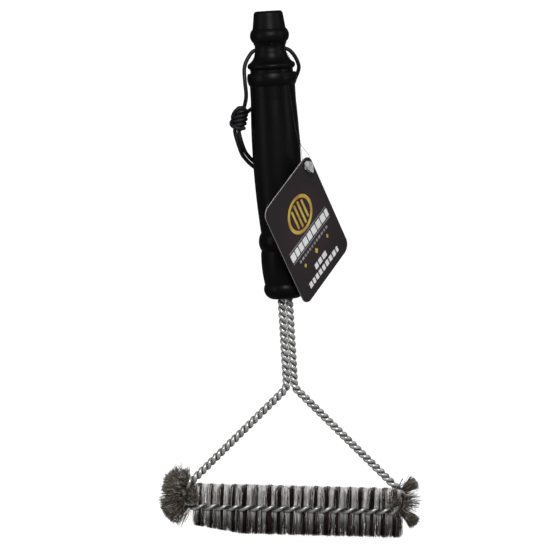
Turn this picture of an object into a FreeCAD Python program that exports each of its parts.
import FreeCAD, Part
import math
import os

import Sketcher

# Grill cleaning brush: a turned plastic handle on a triangular head of twisted steel wire.
# +Z runs up the handle and -Y is the front. The origin is the centre of the flat end face of
# the pommel, so everything else hangs below it and most places are given as depths.
# Lengths are millimetres and angles are degrees.

Vector = FreeCAD.Vector
FRONT_TO_BACK = Vector(0, 1, 0)

SIZES = {
    # Pommel, from its flat end down to the spigot that fills the top of the grip.
    "pommel_flat_radius": 9.5,
    "pommel_edge_radius": 11.5,
    "pommel_edge_depth": 2.4,
    "pommel_edge_round": 2.5,
    "cone_foot_radius": 13.0,
    "cone_foot_depth": 13.6,
    "collar_round": 7.4,
    "collar_foot_depth": 24.5,
    "neck_radius": 12.4,
    "neck_depth": 31.0,
    "neck_round": 9.2,
    "flare_round": 11.0,
    "flange_radius": 17.4,
    "flange_depth": 40.4,
    "flange_round": 2.6,
    "flange_foot_radius": 17.9,
    "flange_foot_depth": 44.6,
    "groove_radius": 16.8,
    "groove_depth": 45.4,
    "parting_depth": 48.4,
    "parting_gap": 0.1,
    "spigot_radius": 10.9,
    "spigot_depth": 76.4,
    "cord_hole_radius": 2.3,
    "cord_hole_depth": 30.1,
    # Grip, a hollow shell from the parting line down to the nose.
    "bore_radius": 11.0,
    "bore_floor_depth": 222.4,
    "grip_top_radius": 18.8,
    "top_bead_round": 10.3,
    "top_bead_radius": 17.8,
    "top_bead_depth": 58.2,
    "belly_round": 682.0,
    "belly_top_depth": 69.4,
    "ring_head_radius": 16.0,
    "ring_head_depth": 173.8,
    "ring_round": 13.6,
    "ring_foot_radius": 16.4,
    "ring_foot_depth": 188.0,
    "nose_top_radius": 17.0,
    "nose_top_depth": 190.0,
    "nose_round": 108.0,
    "nose_bead_radius": 15.4,
    "nose_bead_depth": 214.9,
    "nose_bead_round": 8.06,
    "nose_face_radius": 11.0,
    "handle_length": 226.4,
    # Stem: two ropes side by side, held in the nose by a moulded plug and a crimped sleeve.
    "rope_half_spacing": 3.0,
    "slot_radius": 3.45,
    "plug_radius": 10.9,
    "plug_depth": 222.3,
    "plug_height": 18.0,
    "sleeve_inner_radius": 3.4,
    "sleeve_outer_radius": 4.2,
    "sleeve_depth": 180.4,
    "sleeve_height": 12.0,
    "stem_top_depth": 166.4,
    # Head: one rope of two strands bent to a triangle.
    "strand_radius": 1.5,
    "bare_offset": 1.65,
    "bristle_offset": 1.72,
    "bare_lead": 10.5,
    "bristle_lead": 18.4,
    "apex_depth": 298.1,
    "apex_bend": 9.0,
    "left_corner_reach": 104.2,
    "left_corner_depth": 387.0,
    "right_corner_reach": 98.1,
    "right_corner_depth": 404.5,
    "corner_bend": 10.0,
    "points_per_turn": 10,
    # Bristle tufts, set across the gap between the two strands.
    "tuft_inner_reach": 3.5,
    "tuft_outer_reach": 20.0,
    "tuft_width": 2.2,
    "tuft_thickness": 1.6,
    "tufts_per_turn": 6,
    # Hanging cord, knotted at the left of the grip.
    "cord_radius": 1.5,
    "cord_spread": 21.4,
    "cord_rear_reach": 22.5,
    "knot_offset": 27.0,
    "knot_depth": 82.4,
    "knot_half_width": 7.0,
    "knot_half_height": 9.5,
    "knot_end_radius": 4.0,
    "knot_round": 7.2,
    "tail_rear_reach": 25.5,
    "tail_end_depth": 136.0,
    "tail_spacing": 3.8,
    # Hang tag and the nylon loop that carries it round the neck.
    "card_width": 69.0,
    "card_height": 102.0,
    "card_thickness": 0.9,
    "card_corner": 8.0,
    "card_hole_inset": 7.5,
    "card_hole_radius": 2.5,
    "card_hole_side": 22.4,
    "card_hole_front": 23.9,
    "card_hole_depth": 121.9,
    "loop_radius": 0.5,
    "loop_ring_radius": 13.35,
    "loop_ring_depth": 25.6,
    "loop_flange_radius": 19.7,
    "loop_bead_radius": 20.9,
    "loop_bead_depth": 52.4,
    "lock_width": 6.0,
    "lock_height": 8.0,
    "lock_thickness": 3.4,
    "lock_clearance": 1.5,
}

# The card's three directions: along its upper edge, up its side and out of its face.
CARD_ALONG = Vector(0.548, 0.579, 0.604)
CARD_UP = Vector(-0.2945, -0.557, 0.776)

document = FreeCAD.newDocument("grill_brush")
sheet = document.addObject("Spreadsheet::Sheet", "Sizes")
for row, (alias, amount) in enumerate(SIZES.items(), start=1):
    sheet.set(f"A{row}", alias)
    sheet.set(f"B{row}", str(amount))
    sheet.setAlias(f"B{row}", alias)
document.recompute()
pieces = []


def size(alias):
    """The number in one cell of the sheet."""
    return float(sheet.get(alias))


def total(terms):
    """The sum of some cells, written as in 'card_width -card_corner'."""
    return sum(-size(term[1:]) if term.startswith("-") else size(term) for term in terms.split())


def formula(terms, sign=1):
    """The same sum as an expression, with its sign turned round when asked."""
    text = ""
    for term in terms.split():
        minus = term.startswith("-") == (sign > 0)
        text += (" - " if minus else " + ") + "Sizes." + term.lstrip("-")
    return "0" + text


# ---------------------------------------------------------------- sketches


def new_body(label):
    body = document.addObject("PartDesign::Body", label)
    body.Label = label
    pieces.append(body)
    return body


def new_sketch(body, name, role):
    sketch = body.newObject("Sketcher::SketchObject", name)
    plane = next(item for item in body.Origin.OriginFeatures if item.Role == role)
    sketch.AttachmentSupport = [(plane, "")]
    sketch.MapMode = "FlatFace"
    return sketch


def bind(sketch, constraint, terms, sign=1):
    index = sketch.addConstraint(constraint)
    sketch.renameConstraint(index, f"size_{index}")
    sketch.setExpression(f"Constraints.size_{index}", formula(terms, sign))


def pin_coordinate(sketch, kind, geometry, end, terms):
    """Hold one coordinate of a point at a sum of cells; no terms means on the axis."""
    if not terms:
        axis = -2 if kind == "DistanceX" else -1
        sketch.addConstraint(Sketcher.Constraint("PointOnObject", geometry, end, axis))
        return
    place = total(terms)
    if place < 0:
        bind(sketch, Sketcher.Constraint(kind, geometry, end, -1, 1, -place), terms, -1)
    else:
        bind(sketch, Sketcher.Constraint(kind, -1, 1, geometry, end, place), terms)


def arc_between(start, finish, radius, left):
    """A short arc from start to finish whose centre lies to the left or right of the way along."""
    chord = finish - start
    across = Vector(-chord.y, chord.x, 0).normalize()
    reach = math.sqrt(radius ** 2 - (chord.Length / 2) ** 2)
    centre = (start + finish) * 0.5 + across * (reach if left else -reach)
    first, last = (start, finish) if left else (finish, start)
    first_angle = math.atan2(first.y - centre.y, first.x - centre.x)
    last_angle = math.atan2(last.y - centre.y, last.x - centre.x)
    return Part.ArcOfCircle(Part.Circle(centre, Vector(0, 0, 1), radius), first_angle, last_angle)


def add_outline(sketch, corners):
    """A closed outline. A corner is its two coordinates and the bend of the side that follows it:
    None for a straight side, or the arc's radius and the side that its centre is on."""
    places = [Vector(total(across), total(along), 0) for across, along, bend in corners]
    ends = []
    for number, (across, along, bend) in enumerate(corners):
        start = places[number]
        finish = places[(number + 1) % len(places)]
        if bend is None:
            geometry = sketch.addGeometry(Part.LineSegment(start, finish))
            ends.append((geometry, 1, 2))
            continue
        left = bend[1] == "left"
        geometry = sketch.addGeometry(arc_between(start, finish, size(bend[0]), left))
        bind(sketch, Sketcher.Constraint("Radius", geometry, size(bend[0])), bend[0])
        ends.append((geometry, 1, 2) if left else (geometry, 2, 1))
    for number, (across, along, bend) in enumerate(corners):
        geometry, start_end, finish_end = ends[number]
        before, before_start, before_finish = ends[number - 1]
        sketch.addConstraint(
            Sketcher.Constraint("Coincident", before, before_finish, geometry, start_end))
        pin_coordinate(sketch, "DistanceX", geometry, start_end, across)
        pin_coordinate(sketch, "DistanceY", geometry, start_end, along)


def add_circle(sketch, across, along, radius):
    centre = Vector(total(across), total(along), 0)
    geometry = sketch.addGeometry(Part.Circle(centre, Vector(0, 0, 1), size(radius)))
    bind(sketch, Sketcher.Constraint("Radius", geometry, size(radius)), radius)
    pin_coordinate(sketch, "DistanceX", geometry, 3, across)
    pin_coordinate(sketch, "DistanceY", geometry, 3, along)


def add_rope_slot(sketch, radius):
    """A slot with round ends that goes round the two ropes of the stem."""
    spacing = "rope_half_spacing"
    top = size(radius)
    centre = size(spacing)
    right = Part.Circle(Vector(centre, 0, 0), Vector(0, 0, 1), top)
    left = Part.Circle(Vector(-centre, 0, 0), Vector(0, 0, 1), top)
    right = sketch.addGeometry(Part.ArcOfCircle(right, -math.pi / 2, math.pi / 2))
    left = sketch.addGeometry(Part.ArcOfCircle(left, math.pi / 2, 3 * math.pi / 2))
    upper = sketch.addGeometry(Part.LineSegment(Vector(centre, top, 0), Vector(-centre, top, 0)))
    lower = sketch.addGeometry(Part.LineSegment(Vector(-centre, -top, 0), Vector(centre, -top, 0)))
    for chain in ((right, 2, upper, 1), (upper, 2, left, 1), (left, 2, lower, 1), (lower, 2, right, 1)):
        sketch.addConstraint(Sketcher.Constraint("Tangent", *chain))
    for arc, place in ((right, spacing), (left, "-" + spacing)):
        pin_coordinate(sketch, "DistanceX", arc, 3, place)
        pin_coordinate(sketch, "DistanceY", arc, 3, "")
    bind(sketch, Sketcher.Constraint("Radius", right, top), radius)


def revolve(body, sketch, axis="V_Axis"):
    turn = body.newObject("PartDesign::Revolution", body.Label + "_turned")
    turn.Profile = sketch
    turn.ReferenceAxis = (sketch, [axis])
    turn.Angle = 360.0
    document.recompute()
    return turn


def pad(body, sketch, length, midplane=False):
    block = body.newObject("PartDesign::Pad", body.Label + "_pad")
    block.Profile = sketch
    block.setExpression("Length", formula(length))
    block.Midplane = midplane
    document.recompute()
    return block


def pocket_through(body, sketch, midplane=False):
    """Cut right through the body, and stop if nothing was cut away."""
    before = body.Shape.Volume
    cut = body.newObject("PartDesign::Pocket", sketch.Label + "_cut")
    cut.Profile = sketch
    cut.Type = "ThroughAll"
    cut.Midplane = midplane
    document.recompute()
    if not body.Shape.Volume < before:
        raise RuntimeError(f"{cut.Label} cuts nothing")


# ---------------------------------------------------------------- turned and moulded pieces


def make_pommel():
    body = new_body("pommel")
    sketch = new_sketch(body, "pommel_profile", "XZ_Plane")
    add_outline(sketch, [
        ("", "", None),
        ("pommel_flat_radius", "", ("pommel_edge_round", "right")),
        ("pommel_edge_radius", "-pommel_edge_depth", None),
        ("cone_foot_radius", "-cone_foot_depth", ("collar_round", "right")),
        ("cone_foot_radius", "-collar_foot_depth", ("neck_round", "left")),
        ("neck_radius", "-neck_depth", ("flare_round", "left")),
        ("flange_radius", "-flange_depth", ("flange_round", "right")),
        ("flange_foot_radius", "-flange_foot_depth", None),
        ("groove_radius", "-groove_depth", None),
        ("groove_radius", "-parting_depth parting_gap", None),
        ("spigot_radius", "-parting_depth parting_gap", None),
        ("spigot_radius", "-spigot_depth", None),
        ("", "-spigot_depth", None),
    ])
    revolve(body, sketch)
    hole = new_sketch(body, "cord_hole", "YZ_Plane")
    add_circle(hole, "", "-cord_hole_depth", "cord_hole_radius")
    pocket_through(body, hole, midplane=True)


def make_grip_shell():
    body = new_body("grip_shell")
    sketch = new_sketch(body, "grip_profile", "XZ_Plane")
    add_outline(sketch, [
        ("bore_radius", "-parting_depth", None),
        ("grip_top_radius", "-parting_depth", ("top_bead_round", "right")),
        ("top_bead_radius", "-top_bead_depth", None),
        ("top_bead_radius", "-belly_top_depth", ("belly_round", "right")),
        ("ring_head_radius", "-ring_head_depth", ("ring_round", "right")),
        ("ring_foot_radius", "-ring_foot_depth", None),
        ("nose_top_radius", "-nose_top_depth", ("nose_round", "right")),
        ("nose_bead_radius", "-nose_bead_depth", ("nose_bead_round", "right")),
        ("nose_face_radius", "-handle_length", None),
        ("", "-handle_length", None),
        ("", "-bore_floor_depth", None),
        ("bore_radius", "-bore_floor_depth", None),
    ])
    revolve(body, sketch)
    slot = new_sketch(body, "nose_slot", "XY_Plane")
    add_rope_slot(slot, "slot_radius")
    pocket_through(body, slot)


def make_stem_plug():
    body = new_body("stem_plug")
    sketch = new_sketch(body, "plug_section", "XY_Plane")
    add_circle(sketch, "", "", "plug_radius")
    add_rope_slot(sketch, "slot_radius")
    pad(body, sketch, "plug_height")
    body.setExpression("Placement.Base.z", formula("-plug_depth"))


def make_stem_sleeve():
    body = new_body("stem_sleeve")
    sketch = new_sketch(body, "sleeve_section", "XY_Plane")
    add_rope_slot(sketch, "sleeve_outer_radius")
    add_rope_slot(sketch, "sleeve_inner_radius")
    pad(body, sketch, "sleeve_height")
    body.setExpression("Placement.Base.z", formula("-sleeve_depth"))


def card_placement():
    """The card's own frame: its hole at the origin, its face towards +Z."""
    place = Vector(size("card_hole_side"), -size("card_hole_front"), -size("card_hole_depth"))
    face = CARD_ALONG.cross(CARD_UP)
    turn = FreeCAD.Rotation(CARD_ALONG, CARD_UP, face, "ZXY")
    return FreeCAD.Placement(place, turn)


def make_hang_tag():
    body = new_body("hang_tag")
    sketch = new_sketch(body, "card_outline", "XY_Plane")
    right, top = "card_hole_inset", "card_hole_inset"
    left, bottom = "card_hole_inset -card_width", "card_hole_inset -card_height"
    corner = ("card_corner", "left")
    add_outline(sketch, [
        (left + " card_corner", bottom, None),
        (right + " -card_corner", bottom, corner),
        (right, bottom + " card_corner", None),
        (right, top + " -card_corner", corner),
        (right + " -card_corner", top, None),
        (left + " card_corner", top, corner),
        (left, top + " -card_corner", None),
        (left, bottom + " card_corner", corner),
    ])
    add_circle(sketch, "", "", "card_hole_radius")
    pad(body, sketch, "card_thickness", midplane=True)
    body.Placement = card_placement()


def add_feature(label, shape):
    feature = document.addObject("Part::Feature", label)
    feature.Label = label
    feature.Shape = shape
    feature.Placement = FreeCAD.Placement()
    pieces.append(feature)


def round_line(points, radius, points_per_face=3, frenet=False):
    """A round wire or cord through some points, with flat ends and a new face every few points."""
    curve = Part.BSplineCurve()
    curve.interpolate(points)
    knots = curve.getKnots()
    cuts = knots[::points_per_face]
    if cuts[-1] != knots[-1]:
        cuts[-1 if len(cuts) > 1 else 1:] = [knots[-1]]
    edges = [curve.toShape(low, high) for low, high in zip(cuts, cuts[1:])]
    section = Part.Wire([Part.makeCircle(radius, points[0], curve.tangent(cuts[0])[0])])
    return Part.Wire(edges).makePipeShell([section], True, frenet)


# ---------------------------------------------------------------- twisted wire


def rope_path():
    """The core line of the rope, as stretches (start, direction, length, curvature) in the plane
    y = 0: down the left of the stem, round the triangle and up the right of the stem."""
    side = size("rope_half_spacing")
    corners = [
        Vector(-side, 0, -size("stem_top_depth")),
        Vector(-side, 0, -size("apex_depth")),
        Vector(-size("left_corner_reach"), 0, -size("left_corner_depth")),
        Vector(size("right_corner_reach"), 0, -size("right_corner_depth")),
        Vector(side, 0, -size("apex_depth")),
        Vector(side, 0, -size("stem_top_depth")),
    ]
    bends = [size("apex_bend"), size("corner_bend"), size("corner_bend"), size("apex_bend")]
    stretches = []
    start = corners[0]
    for before, corner, after, bend in zip(corners, corners[1:], corners[2:], bends):
        way_in = (corner - before).normalize()
        way_out = (after - corner).normalize()
        turn = way_in.getAngle(way_out)
        cut = bend * math.tan(turn / 2)
        side_way = FRONT_TO_BACK.cross(way_in)
        sense = 1 if way_out.dot(side_way) > 0 else -1
        stretches.append((start, way_in, (corner - start).Length - cut, 0))
        stretches.append((corner - way_in * cut, way_in, bend * turn, sense / bend))
        start = corner + way_out * cut
    stretches.append((start, (corners[-1] - start).normalize(), (corners[-1] - start).Length, 0))
    return stretches


def path_point(stretches, distance):
    """Place, direction and side direction of the core line at a distance along it."""
    for start, way, length, curvature in stretches:
        if distance <= length:
            break
        distance -= length
    else:
        distance += length
    side = FRONT_TO_BACK.cross(way)
    if curvature == 0:
        return start + way * distance, way, side
    angle = distance * curvature
    centre = start + side * (1 / curvature)
    point = centre + (way * math.sin(angle) - side * math.cos(angle)) * (1 / curvature)
    return point, way * math.cos(angle) + side * math.sin(angle), side * math.cos(angle) - way * math.sin(angle)


def bristle_limits(stretches):
    """Where the bristles start and end: from one corner's leg to the other's."""
    lengths = [stretch[2] for stretch in stretches]
    return sum(lengths[:3]), sum(lengths[:6])


def twist_table(stretches, step):
    """Distance, twist angle and strand offset at even steps along the rope. The twist is
    left-handed, close on the bare rope and open where the bristles are held."""
    first, last = bristle_limits(stretches)
    length = sum(stretch[2] for stretch in stretches)
    fade = size("bare_lead")
    count = math.ceil(length / step)
    rows = []
    angle = 0.0
    for number in range(count + 1):
        distance = length * number / count
        opened = min(1, max(0, (distance - first + fade) / fade))
        opened = min(opened, max(0, (last + fade - distance) / fade))
        lead = size("bare_lead") + opened * (size("bristle_lead") - size("bare_lead"))
        offset = size("bare_offset") + opened * (size("bristle_offset") - size("bare_offset"))
        rows.append((distance, angle, offset))
        angle -= 2 * math.pi * (length / count) / lead
    return rows


def make_strand(label, half_turn):
    """One wire of the rope: a round bar swept along its helix."""
    stretches = rope_path()
    points = []
    for distance, angle, offset in twist_table(stretches, size("bare_lead") / size("points_per_turn")):
        core, way, side = path_point(stretches, distance)
        turned = angle + half_turn
        points.append(core + (side * math.cos(turned) + FRONT_TO_BACK * math.sin(turned)) * offset)
    add_feature(label, round_line(points, size("strand_radius"), points_per_face=24, frenet=True))


# ---------------------------------------------------------------- bristles


def tuft(core, way, outwards):
    """A flat tuft of bristles standing out of the rope at one place."""
    inner, outer = size("tuft_inner_reach"), size("tuft_outer_reach")
    width, thickness = size("tuft_width"), size("tuft_thickness")
    block = Part.makeBox(outer - inner, width, thickness, Vector(inner, -width / 2, -thickness / 2))
    turn = FreeCAD.Rotation(outwards, way, outwards.cross(way), "XYZ")
    block.Placement = FreeCAD.Placement(core, turn)
    return block


def make_bristles(label, first_stretch, last_stretch):
    """Tufts along part of the rope, turning with the twist of the strands. Round a bend only the
    tufts that point out of it are kept."""
    stretches = rope_path()
    low = sum(stretch[2] for stretch in stretches[:first_stretch])
    high = sum(stretch[2] for stretch in stretches[:last_stretch])
    bend = stretches[first_stretch][3]
    spacing = size("bristle_lead") / size("tufts_per_turn")
    blocks = []
    next_place = low + spacing / 2
    for distance, angle, offset in twist_table(stretches, size("bare_lead") / size("points_per_turn")):
        if distance < next_place or distance > high - spacing / 2:
            continue
        next_place += spacing
        core, way, side = path_point(stretches, distance)
        for quarter in (math.pi / 2, -math.pi / 2):
            outwards = side * math.cos(angle + quarter) + FRONT_TO_BACK * math.sin(angle + quarter)
            if outwards.dot(side) * bend <= 0.01:
                blocks.append(tuft(core, way, outwards))
    add_feature(label, Part.makeCompound(blocks))


# ---------------------------------------------------------------- cord and tag loop


def knot_place():
    return Vector(-size("knot_offset"), 0, -size("knot_depth"))


def make_hanging_cord():
    """From the knot up the left, through the pommel's hole, down the right, behind the grip and
    back to the knot."""
    hole = -size("cord_hole_depth")
    spread = size("cord_spread")
    rear = size("cord_rear_reach")
    knot = knot_place()
    points = [
        knot + Vector(1, -3, 2),
        Vector(-spread + 0.2, -7, hole - 36),
        Vector(-spread, -7, hole - 23),
        Vector(-spread + 0.3, -3.5, hole - 13),
        Vector(-17.8, -1, hole - 5.6),
        Vector(-12, 0, hole),
        Vector(0, 0, hole),
        Vector(12, 0, hole),
        Vector(17.8, 0, hole - 4.8),
        Vector(spread, 1.5, hole - 13.4),
        Vector(0.9 * rear, 0.42 * rear, hole - 20),
        Vector(0.7 * rear, 0.73 * rear, hole - 28),
        Vector(0.36 * rear, 0.95 * rear, hole - 33.5),
        Vector(-0.36 * rear, 0.98 * rear, hole - 41),
        Vector(-0.9 * rear, 0.62 * rear, hole - 48),
        knot + Vector(0, 4, 0),
    ]
    add_feature("hanging_cord", round_line(points, size("cord_radius")))


def make_cord_knot():
    """The lump of the knot, turned about the line that the cord's tail swings on."""
    body = new_body("cord_knot")
    sketch = new_sketch(body, "knot_profile", "XY_Plane")
    add_outline(sketch, [
        ("-knot_half_width", "", None),
        ("-knot_half_width", "knot_end_radius", ("knot_round", "right")),
        ("knot_half_width", "knot_end_radius", None),
        ("knot_half_width", "", None),
    ])
    revolve(body, sketch, "H_Axis")
    body.setExpression("Placement.Base.x", formula("-knot_offset"))
    body.setExpression("Placement.Base.z", formula("-knot_depth"))


def make_cord_tail_loop():
    """The loop of doubled cord below the knot, which passes behind the grip."""
    knot = knot_place()
    rear = size("tail_rear_reach")
    end = -size("tail_end_depth")
    gap = size("tail_spacing")
    start = knot + Vector(-1.4, 0, -size("knot_half_height") - 1.5)
    near = [
        start,
        start + Vector(1.8, 2, -9.5),
        Vector(-0.92 * rear, 0.3 * rear, start.z - 18),
        Vector(-0.62 * rear, 0.72 * rear, start.z - 27),
        Vector(-0.14 * rear, 0.97 * rear, end + 8),
        Vector(0.2 * rear, rear, end + 3),
    ]
    far = [point + Vector(-0.75 * gap, 0, -0.66 * gap) for point in near[1:5]]
    far[2] = far[2] + Vector(0, 0.5, -0.3)
    far[3] = far[3] + Vector(0, 0.5, -0.4)
    turn_back = Vector(0.22 * rear, rear, end - 0.5)
    under = Vector(0.1 * rear, rear + 0.2, end - 1.5)
    finish = start + Vector(-gap, 0, 1.0)
    add_feature("cord_tail_loop",
                round_line(near + [turn_back, under] + far[::-1] + [finish], size("cord_radius")))


def around(radius, angle, depth):
    turn = math.radians(angle)
    return Vector(radius * math.cos(turn), radius * math.sin(turn), -depth)


def make_tag_loop():
    """A nylon thread round the neck of the pommel whose two ends meet in a lock at the card."""
    frame = card_placement()
    hole = frame.Base
    face = frame.Rotation.multVec(Vector(0, 0, 1))
    ring, ring_depth = size("loop_ring_radius"), size("loop_ring_depth")
    flange, bead = size("loop_flange_radius"), size("loop_bead_radius")
    bead_depth = size("loop_bead_depth")
    clearance = size("lock_clearance") + size("lock_thickness") / 2
    up = Vector(0, 0, 1)
    ring_points = [around(ring, angle, ring_depth) for angle in range(-20, 290, 20)]
    points = [
        hole + face * clearance,
        hole,
        hole - face * 2.0 + up * 1.0,
        hole - face * 3.4 + up * 5.0,
        around(bead + 3.0, -40, 90),
        around(bead, -37, bead_depth),
        around(flange, -38, 40),
        around(ring + 0.7, -38, ring_depth + 4),
    ] + ring_points + [
        around(ring + 0.7, -59, ring_depth + 4),
        around(flange, -57, 40),
        around(bead, -56, bead_depth),
        hole + Vector(-5.8, -2.5, 50),
        hole + Vector(1.4, -5.8, 22),
        hole + face * clearance + up * 9,
        hole + face * clearance + up * 2,
    ]
    thread = round_line(points, size("loop_radius"))
    add_feature("tag_loop", thread)
    lock = document.addObject("Part::Box", "tag_lock")
    lock.Label = "tag_lock"
    lock.setExpression("Length", formula("lock_width"))
    lock.setExpression("Width", formula("lock_height"))
    lock.setExpression("Height", formula("lock_thickness"))
    corner = Vector(-size("lock_width") / 2, -size("lock_height") / 4, size("lock_clearance"))
    lock.Placement = frame.multiply(FreeCAD.Placement(corner, FreeCAD.Rotation()))
    pieces.append(lock)


make_grip_shell()
make_pommel()
make_stem_plug()
make_stem_sleeve()
make_strand("wire_strand_a", 0)
make_strand("wire_strand_b", math.pi)
make_bristles("bristles_base", 4, 5)
make_bristles("bristles_left_corner", 3, 4)
make_bristles("bristles_right_corner", 5, 6)
make_hanging_cord()
make_cord_knot()
make_cord_tail_loop()
make_tag_loop()
make_hang_tag()
document.recompute()

for item in document.Objects:
    if "Invalid" in item.State or "Error" in item.State:
        raise RuntimeError(f"{item.Label} did not compute: {item.State}")
os.makedirs("parts", exist_ok=True)
for piece in pieces:
    if piece.Shape.isNull() or not piece.Shape.isValid():
        raise RuntimeError(f"{piece.Label} has no valid shape")
    piece.Shape.exportStep(f"parts/{piece.Label}.step")
